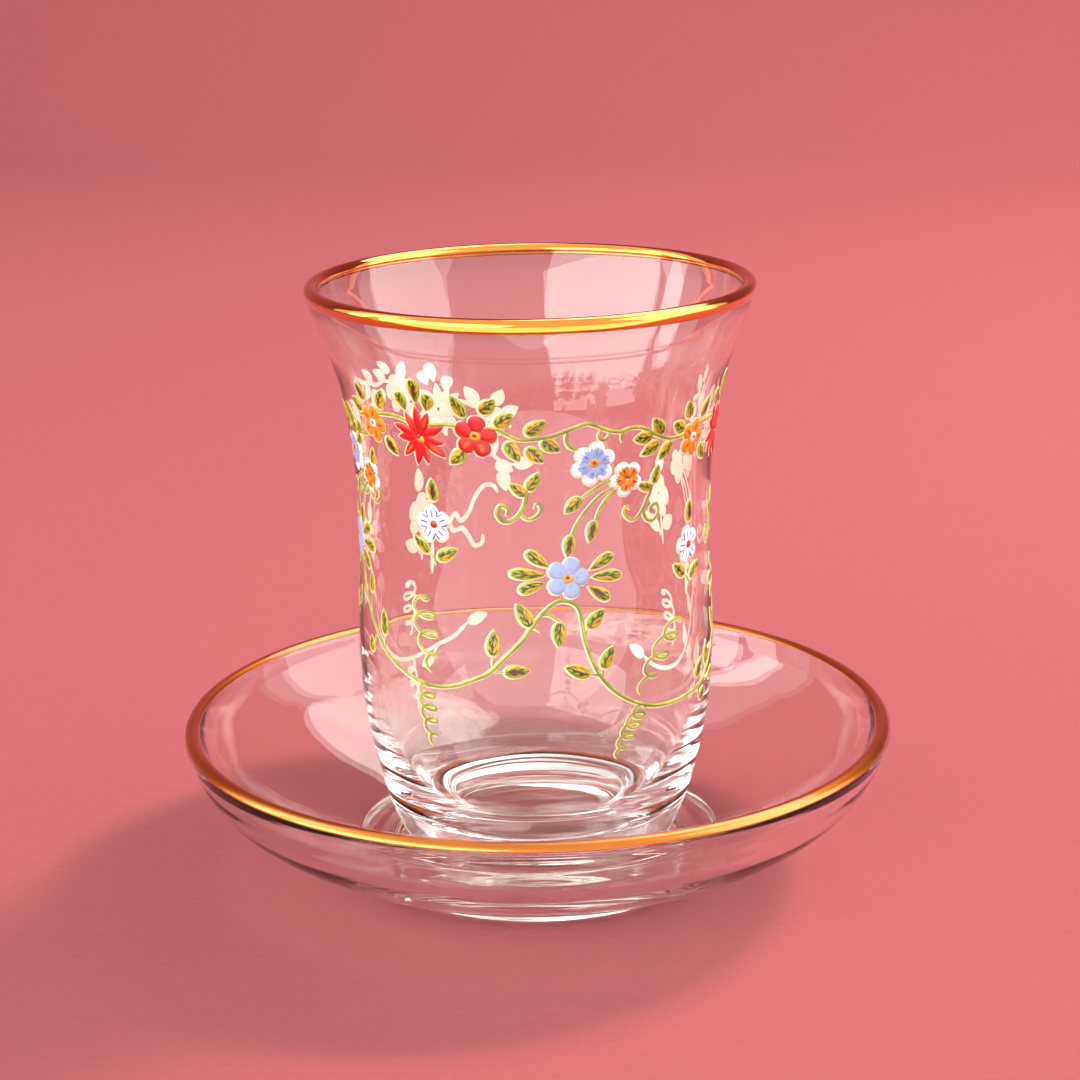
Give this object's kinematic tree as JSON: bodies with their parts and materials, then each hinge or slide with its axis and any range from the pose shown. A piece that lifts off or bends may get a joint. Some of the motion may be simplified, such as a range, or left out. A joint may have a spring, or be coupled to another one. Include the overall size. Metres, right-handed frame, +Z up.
{
  "type": "turkish tea glass with saucer",
  "caption": "Empty waisted tea glass with flared gilded lip, thick base and raised floral enamel, standing on its own gilt-edged clear glass saucer.",
  "frame": {"origin": "on the table, under the middle of the saucer's foot ring", "axes": "+Z up along the common axis of glass and saucer; -Y faces the viewer of the picture"},
  "size_m": [0.104, 0.104, 0.0872],
  "materials": {
    "tea_glass": "polished clear",
    "saucer_glass": "polished clear",
    "gilding": "polished",
    "enamel": "raised gloss enamel"
  },
  "bodies": {
    "root": {"glass": "tea_glass", "saucer": "saucer_glass"}
  },
  "joints": []
}
